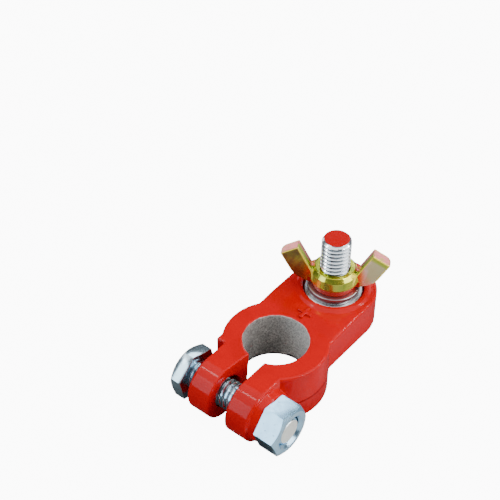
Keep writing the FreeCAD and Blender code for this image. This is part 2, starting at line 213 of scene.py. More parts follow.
def modify(piece, kind, **settings):  # adds a modifier and applies it
    takeUp(piece)
    made = piece.modifiers.new(kind.lower(), kind)
    for key, value in settings.items():
        setattr(made, key, value)
    bpy.ops.object.modifier_apply(modifier=made.name)


def roundEdges(piece, width, segments, least):  # least is the angle in degrees from which an edge is rounded
    modify(
        piece, "BEVEL", width=width, segments=segments, limit_method="ANGLE", angle_limit=math.radians(least),
    )


def cutBy(piece, cutter, operation):  # joins, cuts or trims a piece by another, which is then deleted
    modify(piece, "BOOLEAN", operation=operation, object=cutter, solver="EXACT")
    bpy.data.objects.remove(cutter)


def joinTo(piece, others):
    letGo()
    for other in others:
        other.select_set(True)
    piece.select_set(True)
    bpy.context.view_layer.objects.active = piece
    bpy.ops.object.join()


def settle(piece):  # puts the place, turn and scale of a piece into its mesh
    takeUp(piece)
    bpy.ops.object.transform_apply(location=True, rotation=True, scale=True)


def stand(piece, place, turn=(0, 0, 0)):  # turns a piece built about Z and moves it to its place
    piece.rotation_euler = [math.radians(angle) for angle in turn]
    piece.location = place
    settle(piece)


def smoothBy(piece, degrees):
    takeUp(piece)
    bpy.ops.object.shade_smooth_by_angle(angle=math.radians(degrees))


def dress(piece, material):
    piece.data.materials.clear()
    piece.data.materials.append(material)


def outlined(name, points, closed=True):  # an outline of points (across, along) in the XZ plane
    count = len(points)
    mesh = bpy.data.meshes.new(name)
    links = [(at, at + 1) for at in range(count - 1)]
    if closed:
        links.append((count - 1, 0))
    mesh.from_pydata([(across, 0, along) for across, along in points], links, [])
    piece = bpy.data.objects.new(name, mesh)
    bpy.context.scene.collection.objects.link(piece)
    return piece


def spun(piece, steps, degrees):  # turns an outline into a solid about Z
    bpy.ops.mesh.spin(steps=steps, angle=math.radians(degrees), center=(0, 0, 0), axis=(0, 0, 1))
    doneEditing()
    tidyMesh(piece)


def lathed(name, points, steps=96):
    piece = outlined(name, points)
    editAll(piece)
    spun(piece, steps, 360)
    return piece


def slicedFlat(piece, height, above):  # cuts away what lies above or below a height and closes the end
    editAll(piece)
    bpy.ops.mesh.bisect(
        plane_co=(0, 0, height), plane_no=(0, 0, 1), use_fill=True,
        clear_outer=above, clear_inner=not above,
    )
    doneEditing()


def meshedAnew(name, node, values):  # a copy of a solid in small even faces, with its edges softened
    piece = bpy.data.objects.new(name, frame["nodes"][node].data.copy())
    bpy.context.scene.collection.objects.link(piece)
    tidyMesh(piece)
    modify(piece, "REMESH", mode="VOXEL", voxel_size=values["grain"], use_smooth_shade=True)
    modify(piece, "SMOOTH", factor=values["softShare"], iterations=values["softRounds"])
    return piece


# Places that the solids give

def middleOf(node):
    low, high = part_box(node)
    return (Vector(low) + Vector(high)) / 2


def startOf(node):
    return Vector(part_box(node)[0])


def endOf(node):
    return Vector(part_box(node)[1])


# Cast body with a raised plus sign on its neck and a fine parting ridge round the ring

casting = {
    "grain": 0.22 * mm,  # size of the faces it is made of
    "softShare": 0.5,
    "softRounds": 2,
    "trimmed": 0.60,  # share of the faces that stay
    "smoothBelow": 40,
    "plusPlace": (0.2 * mm, 12.0 * mm),
    "plusLength": 4.2 * mm,
    "plusWidth": 0.85 * mm,
    "plusBottom": 15.8 * mm,
    "plusTop": 16.80 * mm,
    "plusRounding": (0.16 * mm, 3, 60),
    "ringRadius": 14.1 * mm,
    "partingHeight": 6.3 * mm,
    "partingRise": 0.20 * mm,
    "partingDepth": 1.0 * mm,
    "partingArcs": ((-52.0, 42.0), (138.0, 228.0)),  # degrees round from +X
    "partingSteps": 72,
}


def plusBar(turn):
    across, along = casting["plusPlace"]
    low, high = casting["plusBottom"], casting["plusTop"]
    letGo()
    bpy.ops.mesh.primitive_cube_add(size=1, location=(across, along, (low + high) / 2))
    bar = bpy.context.object
    bar.scale = (casting["plusLength"], casting["plusWidth"], high - low)
    bar.rotation_euler = (0, 0, math.radians(turn))
    settle(bar)
    return bar


def plusSign():
    piece = plusBar(0)
    cutBy(piece, plusBar(90), "UNION")
    roundEdges(piece, *casting["plusRounding"])
    return piece


def partingRidge(first, last):
    radius, height, rise = casting["ringRadius"], casting["partingHeight"], casting["partingRise"]
    inside = radius - casting["partingDepth"]
    ridge = outlined("partingRidge", [
        (inside, height - rise), (radius, height - rise), (radius + rise, height),
        (radius, height + rise), (inside, height + rise),
    ])
    stand(ridge, (0, 0, 0), (0, 0, first))
    editAll(ridge)
    bpy.ops.mesh.edge_face_add()
    spun(ridge, casting["partingSteps"], last - first)
    return ridge


def castBody():
    piece = meshedAnew("castBody", "clamp_body", casting)
    modify(piece, "DECIMATE", ratio=casting["trimmed"])
    marks = [partingRidge(first, last) for first, last in casting["partingArcs"]]
    joinTo(piece, marks + [plusSign()])
    smoothBy(piece, casting["smoothBelow"])
    dress(piece, redEnamel())
    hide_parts("clamp_body")
    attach(piece, "casting")
    print("cast body:", len(piece.data.polygons), "faces")


# Threads and hexagons

thread = {
    "pitch": 1.25 * mm,
    "crest": 4.0 * mm,
    "root": 3.23 * mm,
    "crestRound": 0.06 * mm,
    "rootRound": 0.10 * mm,
    "crestEnds": (0.42, 0.58),  # shares of the pitch
    "rootEnds": (0.12, 0.88),
    "spareTurns": 3,
    "spareEnd": 0.3,  # share of the pitch that stands past both ends before they are trimmed
    "steps": 56,
    "chamfer": 0.75 * mm,
    "smoothBelow": 22,
}

hexShape = {
    "cornerSlope": 30,  # degrees at which the corners come off
    "trimPast": 0.3 * mm,
    "rounding": (0.16 * mm, 2, 25),
}


def threadRod(name, length):  # a threaded rod from 0 up to its length, chamfered at the top
    crest, root, pitch = thread["crest"], thread["root"], thread["pitch"]
    nearCrest, nearRoot = crest - thread["crestRound"], root + thread["rootRound"]
    crestStart, crestEnd = thread["crestEnds"]
    rootEnd, rootStart = thread["rootEnds"]
    piece = outlined(name, [
        (root, 0), (nearRoot, rootEnd * pitch), (nearCrest, crestStart * pitch), (crest, 0.5 * pitch),
        (nearCrest, crestEnd * pitch), (nearRoot, rootStart * pitch), (root, pitch),
    ], closed=False)
    turns = int(length / pitch) + thread["spareTurns"]
    modify(
        piece, "SCREW", axis="Z", angle=2 * math.pi, screw_offset=pitch, iterations=turns,
        steps=thread["steps"], render_steps=thread["steps"], use_merge_vertices=False,
    )
    editAll(piece)
    bpy.ops.mesh.remove_doubles(threshold=mergeWithin)
    bpy.ops.transform.translate(value=(0, 0, -pitch))
    doneEditing()
    spare = thread["spareEnd"] * pitch
    slicedFlat(piece, -spare, above=False)
    slicedFlat(piece, length + spare, above=True)
    tidyMesh(piece)
    wide = crest + clear
    tip = crest - thread["chamfer"]
    trim = lathed(name + "Trim", [(0, 0), (wide, 0), (wide, length - wide + tip), (tip, length), (0, length)])
    cutBy(piece, trim, "INTERSECT")
    return piece


def hexagon(name, flats, height, crown, ends):  # its corners come off at the top or at both ends
    corner = flats / math.sqrt(3)
    letGo()
    bpy.ops.mesh.primitive_cylinder_add(
        vertices=6, radius=corner, depth=height, location=(0, 0, height / 2), rotation=(0, 0, math.radians(30)),
    )
    piece = bpy.context.object
    piece.name = name
    settle(piece)
    wide = corner + hexShape["trimPast"]
    drop = (wide - crown) * math.tan(math.radians(hexShape["cornerSlope"]))
    low = [(0, 0), (crown, 0), (wide, drop)] if ends == "both" else [(0, -clear), (wide, -clear)]
    trim = lathed(name + "Trim", low + [(wide, height - drop), (crown, height), (0, height)])
    cutBy(piece, trim, "INTERSECT")
    return piece


def hexBolt(name, values):  # its thread starts at 0 and goes up, and its head is below
    piece = threadRod(name, values["length"])
    head = hexagon(name + "Head", values["flats"], values["headHeight"], values["crown"], "top")
    roundEdges(head, *hexShape["rounding"])
    stand(head, (0, 0, 0), (180, 0, values["headTurn"]))
    joinTo(piece, [head])
    return piece


clampBolt = {
    "flats": 13.0 * mm,
    "headHeight": 4.1 * mm,
    "crown": 5.7 * mm,
    "length": 30.0 * mm,
    "headTurn": 12,
}


def makeClampBolt():
    node = "clamp_bolt"
    middle = middleOf("hex_nut")
    seat = startOf(node).x + clampBolt["headHeight"]
    piece = hexBolt("clampBolt", clampBolt)
    stand(piece, (seat, middle.y, middle.z), (0, 90, 0))
    smoothBy(piece, thread["smoothBelow"])
    dress(piece, clampBoltZinc())
    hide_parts(node)
    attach(piece, "clamp_screw")
    print("clamp bolt:", len(piece.data.polygons), "faces")


hexNut = {
    "flats": 12.6 * mm,
    "turn": 21,
    "crown": 6.05 * mm,
    "hole": 4.05 * mm,
    "chamfer": 0.75 * mm,
    "smoothBelow": 32,
    "tone": (0.44, 0.68, 0.88, 1),
    "polish": 0.16,
}


def makeHexNut():
    node = "hex_nut"
    low, high = startOf(node), endOf(node)
    height = high.x - low.x
    piece = hexagon("hexNut", hexNut["flats"], height, hexNut["crown"], "both")
    hole, chamfer = hexNut["hole"], hexNut["chamfer"]
    wide = hole + chamfer + clear
    drill = lathed("hexNutDrill", [
        (0, -clear), (wide, -clear), (hole, chamfer),
        (hole, height - chamfer), (wide, height + clear), (0, height + clear),
    ])
    cutBy(piece, drill, "DIFFERENCE")
    roundEdges(piece, *hexShape["rounding"])
    stand(piece, (0, 0, 0), (0, 0, hexNut["turn"]))
    stand(piece, (low.x, middleOf(node).y, middleOf(node).z), (0, 90, 0))
    smoothBy(piece, hexNut["smoothBelow"])
    dress(piece, brightZinc("hexNutZinc", hexNut["tone"], hexNut["polish"]))
    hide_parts(node)
    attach(piece, "clamp_nut")
    print("clamp nut:", len(piece.data.polygons), "faces")


studBolt = {
    "flats": 13.0 * mm,
    "headHeight": 5.3 * mm,
    "crown": 6.2 * mm,
    "length": 25.0 * mm,
    "headTurn": 0,
}


def makeStudBolt():
    node = "stud_bolt"
    middle, high = middleOf(node), endOf(node)
    piece = hexBolt("studBolt", studBolt)
    stand(piece, (middle.x, middle.y, high.z - studBolt["length"]))
    smoothBy(piece, thread["smoothBelow"])
    dress(piece, studZinc())
    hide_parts(node)
    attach(piece, "casting")
    print("stud:", len(piece.data.polygons), "faces")


# Washers

flatWasher = {
    "hole": 4.2 * mm,
    "round": 0.25 * mm,
    # How far the points of its rounded edge lie in from the rim and down from the top, in rounds
    "rim": ((0.0, 2.0), (0.3, 0.8), (1.0, 0.15), (2.0, 0.0)),
    "steps": 128,
    "smoothBelow": 40,
    "tone": (0.62, 0.64, 0.66, 1),
    "polish": 0.26,
}


def makeFlatWasher():
    node = "flat_washer"
    low, high = startOf(node), endOf(node)
    outer = (high.x - low.x) / 2
    inner, edge = flatWasher["hole"], flatWasher["round"]
    rim = [(outer - inwards * edge, high.z - down * edge) for inwards, down in flatWasher["rim"]]
    around = [(inner, low.z), (outer, low.z)] + rim + [(inner + edge, high.z), (inner, high.z - edge)]
    piece = lathed("flatWasher", around, flatWasher["steps"])
    stand(piece, (middleOf(node).x, middleOf(node).y, 0))
    smoothBy(piece, flatWasher["smoothBelow"])
    dress(piece, brightZinc("flatWasherZinc", flatWasher["tone"], flatWasher["polish"]))
    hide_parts(node)
    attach(piece, "casting")
    print("flat washer:", len(piece.data.polygons), "faces")


springWasher = {
    "outer": 7.1 * mm,
    "hole": 4.15 * mm,
    "rise": 0.15 * mm,
    "slit": 9,  # degrees that it is open
    "slitTurn": 100,  # degrees round from +X
    "steps": 96,
    "rounding": (0.18 * mm, 3, 40),
    "smoothBelow": 40,
    "tone": (0.52, 0.54, 0.56, 1),
    "polish": 0.30,
}


def makeSpringWasher():
    node = "spring_washer"
    low, high = startOf(node), endOf(node)
    outer, inner, rise = springWasher["outer"], springWasher["hole"], springWasher["rise"]
    tall = high.z - low.z - rise
    piece = outlined("springWasher", [(inner, 0), (outer, 0), (outer, tall), (inner, tall)])
    modify(
        piece, "SCREW", axis="Z", angle=math.radians(360 - springWasher["slit"]), screw_offset=rise,
        iterations=1, steps=springWasher["steps"], render_steps=springWasher["steps"],
    )
    editAll(piece)
    bpy.ops.mesh.select_all(action="DESELECT")
    bpy.ops.mesh.select_mode(type="EDGE")
    bpy.ops.mesh.select_non_manifold()
    bpy.ops.mesh.edge_face_add()
    doneEditing()
    tidyMesh(piece)
    roundEdges(piece, *springWasher["rounding"])
    stand(piece, (middleOf(node).x, middleOf(node).y, low.z), (0, 0, springWasher["slitTurn"]))
    smoothBy(piece, springWasher["smoothBelow"])
    dress(piece, brightZinc("springWasherZinc", springWasher["tone"], springWasher["polish"]))
    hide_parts(node)
    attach(piece, "lock_washer")
    print("spring washer:", len(piece.data.polygons), "faces")


# Forged wing nut

wingNut = {
    "grain": 0.12 * mm,
    "softShare": 0.5,
    "softRounds": 2,
}


def makeWingNut():
    piece = meshedAnew("wingNut", "wing_nut", wingNut)
    takeUp(piece)
    bpy.ops.object.shade_smooth()
    dress(piece, yellowZinc())
    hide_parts("wing_nut")
    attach(piece, "wing")
    print("wing nut:", len(piece.data.polygons), "faces")


# Node helpers: a span is where a change begins and where it is full

noiseSpan = (0.25, 0.75)  # nearly all values of a noise lie in it


def addNode(tree, kind, sockets=None, **settings):
    made = tree.nodes.new(kind)
    for key, value in settings.items():
        setattr(made, key, value)
    for key, value in (sockets or {}).items():
        plug(tree, made.inputs[key], value)
    return made


def plug(tree, socket, value):
    if isinstance(value, bpy.types.NodeSocket):
        tree.links.new(value, socket)
    else:
        socket.default_value = value


def maths(tree, operation, first, second=0.0):
    return addNode(tree, "ShaderNodeMath", {0: first, 1: second}, operation=operation).outputs[0]


def plus(tree, first, second):
    return maths(tree, "ADD", first, second)


def minus(tree, first, second):
    return maths(tree, "SUBTRACT", first, second)


def times(tree, first, *others):
    for other in others:
        first = maths(tree, "MULTIPLY", first, other)
    return first


def either(tree, first, second):
    return maths(tree, "MAXIMUM", first, second)


def lengthOf(tree, first, second):
    return maths(tree, "SQRT", plus(tree, times(tree, first, first), times(tree, second, second)))


def axesOf(tree, place):
    return addNode(tree, "ShaderNodeSeparateXYZ", {0: place}).outputs


def turned(tree, x, y, degrees):  # the same place along and across a direction that is turned from +X
    turn = math.radians(degrees)
    along = plus(tree, times(tree, x, math.cos(turn)), times(tree, y, math.sin(turn)))
    across = plus(tree, times(tree, x, -math.sin(turn)), times(tree, y, math.cos(turn)))
    return along, across


def leaning(tree, outwards, up, degrees):  # the distance along a direction that leans outwards from upright
    lean = math.radians(degrees)
    return plus(tree, times(tree, outwards, math.sin(lean)), times(tree, up, math.cos(lean)))


def noise(tree, place, scale, detail=4.0, rough=0.55, warp=0.0):
    sockets = {"Vector": place, "Scale": scale, "Detail": detail, "Roughness": rough, "Distortion": warp}
    return addNode(tree, "ShaderNodeTexNoise", sockets).outputs[0]


def ranged(tree, value, span, results=(0.0, 1.0)):
    sockets = {
        "Value": value, "From Min": span[0], "From Max": span[1], "To Min": results[0], "To Max": results[1],
    }
    return addNode(tree, "ShaderNodeMapRange", sockets, interpolation_type="SMOOTHSTEP").outputs[0]


def wandering(tree, place, pattern, reach):
    return ranged(tree, noise(tree, place, *pattern), noiseSpan, (-reach, reach))


def spanAt(middle, half):
    return middle - half, middle + half


def spanFrom(base, span):
    return base + span[0], base + span[1]


def mixColor(tree, share, first, second, blend="MIX"):
    made = tree.nodes.new("ShaderNodeMix")
    made.data_type = "RGBA"
    made.blend_type = blend
    plug(tree, made.inputs[0], share)
    plug(tree, made.inputs[6], first)
    plug(tree, made.inputs[7], second)
    return made.outputs[2]


def mixValue(tree, share, first, second):
    made = tree.nodes.new("ShaderNodeMix")
    plug(tree, made.inputs[0], share)
    plug(tree, made.inputs[2], first)
    plug(tree, made.inputs[3], second)
    return made.outputs[0]


def newGroup(name, inputs, outputs):  # returns the tree, its input node and its output node
    tree = bpy.data.node_groups.new(name, "ShaderNodeTree")
    for label, kind, value in inputs:
        made = tree.interface.new_socket(name=label, in_out="INPUT", socket_type="NodeSocket" + kind)
        if value is not None:
            made.default_value = value
    for label, kind in outputs:
        tree.interface.new_socket(name=label, in_out="OUTPUT", socket_type="NodeSocket" + kind)
    return tree, tree.nodes.new("NodeGroupInput"), tree.nodes.new("NodeGroupOutput")


def useGroup(tree, group, sockets):
    made = tree.nodes.new("ShaderNodeGroup")
    made.node_tree = group
    for key, value in sockets.items():
        plug(tree, made.inputs[key], value)
    return made


def newMaterial(name):  # returns the material, its tree, its shader and a socket with the place on the piece
    made = bpy.data.materials.new(name)
    made.use_nodes = True
    tree = made.node_tree
    place = addNode(tree, "ShaderNodeTexCoord").outputs["Object"]
    return made, tree, tree.nodes["Principled BSDF"], place


def bumped(tree, height, distance, strength):
    sockets = {"Height": height, "Distance": distance, "Strength": strength}
    return addNode(tree, "ShaderNodeBump", sockets).outputs[0]


# White paper of the floor, which shows darker in glossy metal, a painted reflection that is lighter beside the
# clamp and by its nut

def palePaper():
    made, tree, shader, place = newMaterial("palePaper")
    ray = addNode(tree, "ShaderNodeLightPath").outputs
    x, y, z = axesOf(tree, place)
    aside, away = turned(tree, x, y, camera["turn"])
    before = ranged(tree, away, studio["before"])
    beside = ranged(tree, x, studio["beside"])
    byNut = ranged(tree, y, studio["byNut"])
    # painted reflection: the floor's colour in glossy rays, darker before the clamp, lighter beside it and by
    # its nut
    paintedReflection = mixColor(tree, before, studio["paintedReflectionBehind"], studio["paintedReflectionBefore"])
    bright = mixColor(tree, byNut, studio["paintedReflectionBeside"], studio["paintedReflectionByNut"])
    paintedReflection = mixColor(tree, beside, paintedReflection, bright)
    color = mixColor(tree, ray["Is Glossy Ray"], studio["floorColor"], paintedReflection)
    plug(tree, shader.inputs["Base Color"], color)
    shader.inputs["Roughness"].default_value = studio["floorRoughness"]
    shader.inputs["Emission Color"].default_value = (1, 1, 1, 1)
    plug(tree, shader.inputs["Emission Strength"], times(tree, ray["Is Camera Ray"], studio["floorGlow"]))
    return made


# Zinc skin that all plated pieces share: clouds, fine grain and dull specks

zincSkin = {
    "tone": (0.7, 0.74, 0.79, 1),
    "polish": 0.24,
    "patch": 260.0,  # scale of the clouds
    "cloud": (5.0, 0.6, 0.4),  # detail, roughness and warp
    "cloudSpan": (0.42, 0.68),
    "cloudShare": (0.0, 0.16),
    "cloudTone": (0.30, 0.36, 0.44, 1),
    "cloudDepth": 0.78,
    "dullSpan": (0.35, 0.7),
    "dulling": (-0.03, 0.08),
    "fine": (1400.0, 3.0, 0.6),  # scale, detail and roughness
    "specks": (1500.0, 2.0, 0.5),
    "speckSpan": (0.62, 0.74),
    "speckTone": (0.20, 0.21, 0.22, 1),
    "speckShare": 0.35,
    "speckRoughness": 0.15,
    "fineHeight": 0.35,
    "cloudHeight": 0.45,
    "speckHeight": 0.3,
    "bump": (0.008 * mm, 0.7),  # distance and strength
}


def zincGroup():
    name = "zincSkin"
    if name in bpy.data.node_groups:
        return bpy.data.node_groups[name]
    tree, given, result = newGroup(
        name,
        [
            ("Place", "Vector", None), ("Tone", "Color", zincSkin["tone"]),
            ("Polish", "Float", zincSkin["polish"]), ("Patch", "Float", zincSkin["patch"]),
        ],
        [("Color", "Color"), ("Roughness", "Float"), ("Height", "Float")],
    )
    place, tone = given.outputs["Place"], given.outputs["Tone"]
    cloud = noise(tree, place, given.outputs["Patch"], *zincSkin["cloud"])
    fine = noise(tree, place, *zincSkin["fine"])
    speck = ranged(tree, noise(tree, place, *zincSkin["specks"]), zincSkin["speckSpan"])
    darker = mixColor(tree, zincSkin["cloudDepth"], tone, zincSkin["cloudTone"], "MULTIPLY")
    color = mixColor(tree, ranged(tree, cloud, zincSkin["cloudSpan"], zincSkin["cloudShare"]), tone, darker)
    color = mixColor(tree, times(tree, speck, zincSkin["speckShare"]), color, zincSkin["speckTone"])
    rough = plus(tree, given.outputs["Polish"], ranged(tree, cloud, zincSkin["dullSpan"], zincSkin["dulling"]))
    rough = plus(tree, rough, times(tree, speck, zincSkin["speckRoughness"]))
    height = plus(
        tree, times(tree, fine, zincSkin["fineHeight"]), times(tree, cloud, zincSkin["cloudHeight"]),
    )
    height = minus(tree, height, times(tree, speck, zincSkin["speckHeight"]))
    plug(tree, result.inputs["Color"], color)
    plug(tree, result.inputs["Roughness"], rough)
    plug(tree, result.inputs["Height"], height)
    return tree


def zincMaterial(name, tone, polish):  # a zinc skin on a metal, for the finishes below to build on
    made, tree, shader, place = newMaterial(name)
    skin = useGroup(tree, zincGroup(), {"Place": place, "Tone": tone, "Polish": polish}).outputs
    plug(tree, shader.inputs["Base Color"], skin["Color"])
    plug(tree, shader.inputs["Roughness"], skin["Roughness"])
    plug(tree, shader.inputs["Normal"], bumped(tree, skin["Height"], *zincSkin["bump"]))
    shader.inputs["Metallic"].default_value = 1.0
    return made, tree, shader, place, skin


def brightZinc(name, tone, polish):
    return zincMaterial(name, tone, polish)[0]


# Red enamel, worn off in the bore down to sand-cast metal, with painted shade below the parting line and a
# painted shadow line just under its ridge; the bore's metal has painted light towards +X and painted shade at
# its foot

enamel = {
    "red": (0.55, 0.0004, 0.0018, 1),
    "deepRed": (0.49, 0.0003, 0.0015, 1),
    "shadedRed": (0.20, 0.0004, 0.001, 1),
    "cloud": (120.0, 3.0),  # noises are scale, detail, roughness and warp
    "cloudSpan": (0.35, 0.7),
    "roughness": 0.11,
    "coat": 0.17,
    "coatRoughness": 0.11,
    "specular": 0.1,
    "peel": (320.0, 2.0, 0.4),
    "bump": (0.035 * mm, 0.8),
    # where the painted shade below the parting line and its painted shadow line under the ridge lie, and how
    # dark they are
    "ringInside": (13.6 * mm, 13.9 * mm),
    "ringOutside": (14.9 * mm, 14.5 * mm),
    "neck": (12.0 * mm, 11.6 * mm),
    "partingFade": (0.1 * mm, -0.1 * mm),
    "partingLine": (-0.75 * mm, -0.45 * mm),
    "partingShade": (0.0, 0.7),
    "lowerShade": 0.22,
}

bore = {
    "bareMetal": (0.48, 0.46, 0.44, 1),
    "darkMetal": (0.24, 0.225, 0.21, 1),
    "paleMetal": (0.84, 0.81, 0.78, 1),
    # the darkest colour below is painted shade at the bore's foot, where it meets the floor
    "footShade": (0.04, 0.035, 0.03, 1),
    "footRadius": 9.55 * mm,
    "topRadius": 8.65 * mm,
    "height": 16.0 * mm,
    "edge": 0.10 * mm,  # how far outside the wall the enamel begins
    "edgeFade": 0.06 * mm,
    "edgeWander": 0.08 * mm,
    "wander": (420.0, 3.0),
    "mottle": (2100.0, 6.0, 0.7),
    "mottleSpan": (0.35, 0.65),
    "grainSpan": (0.58, 0.40),
    "grainShare": (0.0, 0.5),
    "blotch": (260.0, 4.0, 0.6),
    "blotchSpan": (0.4, 0.7),
    "blotchShare": (0.0, 0.35),
    "paintedLightSpan": (-7.5 * mm, 0.0),  # painted light, paler towards +X, along X
    "paintedLightShare": (0.0, 0.80),
    "metalSpan": (-7.5 * mm, 1.0 * mm),
    "metallic": (0.5, 0.15),
    # where the painted shade at the bore's foot begins, is full and wanders
    "footShadeSpan": (1.3 * mm, 0.5 * mm),
    "footShadeWanderSpan": (0.35, 0.65),
    "footShadeWander": (-0.3 * mm, 0.3 * mm),
    "roughness": 0.52,
    "pits": (3200.0, 5.0, 0.7),
    "pitHeight": 3.0,
}


def castMetal(tree, place):
    x, y, z = axesOf(tree, place)
    mottle = noise(tree, place, *bore["mottle"])
    blotch = noise(tree, place, *bore["blotch"])
    metal = mixColor(tree, ranged(tree, mottle, bore["mottleSpan"]), bore["darkMetal"], bore["bareMetal"])
    blotched = ranged(tree, blotch, bore["blotchSpan"], bore["blotchShare"])
    metal = mixColor(tree, blotched, metal, bore["paleMetal"])
    # painted light: the bore wall is painted paler towards +X, where it would be lit
    metal = mixColor(tree, ranged(tree, x, bore["paintedLightSpan"], bore["paintedLightShare"]), metal, bore["paleMetal"])
    grain = ranged(tree, mottle, bore["grainSpan"], bore["grainShare"])
    metal = mixColor(tree, grain, metal, bore["darkMetal"])
    # painted shade: the metal is painted dark at the bore's foot, where it meets the floor, with a wandering
    # edge
    foot = plus(tree, z, ranged(tree, blotch, bore["footShadeWanderSpan"], bore["footShadeWander"]))
    return mixColor(tree, ranged(tree, foot, bore["footShadeSpan"]), metal, bore["footShade"])


def redEnamel():
    made, tree, shader, place = newMaterial("redEnamel")
    x, y, z = axesOf(tree, place)
    reach = lengthOf(tree, x, y)
    taper = (bore["footRadius"] - bore["topRadius"]) / bore["height"]
    wall = minus(tree, bore["footRadius"], times(tree, z, taper))
    edge = plus(tree, minus(tree, reach, wall), wandering(tree, place, bore["wander"], bore["edgeWander"]))
    painted = ranged(tree, edge, spanAt(bore["edge"], bore["edgeFade"]))
    cloud = ranged(tree, noise(tree, place, *enamel["cloud"]), enamel["cloudSpan"])
    red = mixColor(tree, cloud, enamel["red"], enamel["deepRed"])
    ring = times(
        tree, ranged(tree, reach, enamel["ringInside"]), ranged(tree, reach, enamel["ringOutside"]),
        ranged(tree, y, enamel["neck"]),
    )
    # painted shade: the ring's side is painted darker below the parting line, and darker still in a painted
    # shadow line just under the ridge, where coat and shine are also taken off
    parting = casting["partingHeight"]
    lower = times(tree, ring, ranged(tree, z, spanFrom(parting, enamel["partingFade"])))
    line = ranged(tree, z, spanFrom(parting, enamel["partingLine"]), enamel["partingShade"])
    under = times(tree, lower, line)
    red = mixColor(tree, times(tree, lower, enamel["lowerShade"]), red, enamel["shadedRed"])
    red = mixColor(tree, under, red, enamel["shadedRed"])
    plug(tree, shader.inputs["Base Color"], mixColor(tree, painted, castMetal(tree, place), red))
    bare = ranged(tree, x, bore["metalSpan"], bore["metallic"])
    plug(tree, shader.inputs["Metallic"], mixValue(tree, painted, bare, 0.0))
    plug(tree, shader.inputs["Roughness"], mixValue(tree, painted, bore["roughness"], enamel["roughness"]))
    gloss = times(tree, painted, minus(tree, 1.0, under))
    plug(tree, shader.inputs["Coat Weight"], times(tree, gloss, enamel["coat"]))
    shader.inputs["Coat Roughness"].default_value = enamel["coatRoughness"]
    plug(tree, shader.inputs["Specular IOR Level"], times(tree, gloss, enamel["specular"]))
    peel = noise(tree, place, *enamel["peel"])
    pits = times(tree, noise(tree, place, *bore["pits"]), bore["pitHeight"])
    plug(tree, shader.inputs["Normal"], bumped(tree, mixValue(tree, painted, pits, peel), *enamel["bump"]))
    return made


# Bright zinc of the two bolts, with painted shade in the thread roots

boltZinc = {
    "clampTone": (0.64, 0.80, 0.90, 1),
    "clampPolish": 0.15,
    "clampRootShadeShare": 0.6,
    "studTone": (0.84, 0.90, 0.95, 1),
    "studPolish": 0.12,
    "studRootShadeShare": 0.85,
    # painted shade in the thread roots: its colour and where it begins and is full
    "rootShadeTone": (0.07, 0.10, 0.12, 1),
    "rootShadeSpan": (0.36 * mm, 0.12 * mm),  # from the root's radius
    "threadSpan": (0.1 * mm, 0.5 * mm),  # from the head
    "chamferSpan": (-0.9 * mm, -0.7 * mm),  # from the end
    "sawnTone": (0.92, 0.91, 0.86, 1),
    "sawnRoughness": 0.55,
    "sawnSpan": (-0.10 * mm, -0.04 * mm),
    "paint": (0.47, 0.0004, 0.0018, 1),
    "paintRoughness": 0.12,
    "paintSpecular": 0.08,
    "paintSpan": (-0.16 * mm, -0.10 * mm),
    "paintWander": 0.05 * mm,
    "paintNoise": (900.0, 3.0),
}


def threadRootShade(tree, across, up, along, seat, end):  # painted shade in the bottom of a thread, between its head and its chamfer
    deep = ranged(tree, lengthOf(tree, across, up), spanFrom(thread["root"], boltZinc["rootShadeSpan"]))
    threaded = ranged(tree, along, spanFrom(seat, boltZinc["threadSpan"]))
    chamfer = ranged(tree, along, spanFrom(end, boltZinc["chamferSpan"]))
    return times(tree, deep, minus(tree, threaded, chamfer))


def clampBoltZinc():  # its end is sawn and dull
    made, tree, shader, place, skin = zincMaterial(
        "clampBoltZinc", boltZinc["clampTone"], boltZinc["clampPolish"],
    )
    x, y, z = axesOf(tree, place)
    middle = middleOf("hex_nut")
    seat, end = startOf("clamp_bolt").x + clampBolt["headHeight"], endOf("clamp_bolt").x
    roots = threadRootShade(tree, minus(tree, y, middle.y), minus(tree, z, middle.z), x, seat, end)
    # painted shade darkens the thread roots
    color = mixColor(tree, times(tree, roots, boltZinc["clampRootShadeShare"]), skin["Color"], boltZinc["rootShadeTone"])
    sawn = ranged(tree, x, spanFrom(end, boltZinc["sawnSpan"]))
    plug(tree, shader.inputs["Base Color"], mixColor(tree, sawn, color, boltZinc["sawnTone"]))
    plug(tree, shader.inputs["Roughness"], mixValue(tree, sawn, skin["Roughness"], boltZinc["sawnRoughness"]))
    return made


def studZinc():  # its end has a dab of paint
    made, tree, shader, place, skin = zincMaterial("studZinc", boltZinc["studTone"], boltZinc["studPolish"])
    x, y, z = axesOf(tree, place)
    seat, top = startOf("stud_bolt").z + studBolt["headHeight"], endOf("stud_bolt").z
    roots = threadRootShade(tree, x, minus(tree, y, middleOf("stud_bolt").y), z, seat, top)
    # painted shade darkens the thread roots
    color = mixColor(tree, times(tree, roots, boltZinc["studRootShadeShare"]), skin["Color"], boltZinc["rootShadeTone"])
    height = plus(tree, z, wandering(tree, place, boltZinc["paintNoise"], boltZinc["paintWander"]))
    dab = ranged(tree, height, spanFrom(top, boltZinc["paintSpan"]))
    plug(tree, shader.inputs["Base Color"], mixColor(tree, dab, color, boltZinc["paint"]))
    plug(tree, shader.inputs["Metallic"], mixValue(tree, dab, 1.0, 0.0))
    plug(tree, shader.inputs["Roughness"], mixValue(tree, dab, skin["Roughness"], boltZinc["paintRoughness"]))
    shader.inputs["Specular IOR Level"].default_value = boltZinc["paintSpecular"]
    return made


# Yellow passivated zinc of the wing nut, which shifts between gold, green, olive and rose from face to face,
# with painted highlights along the wings' rim lines, a painted dark reflection on the collar's front and a
# painted red reflection on its foot

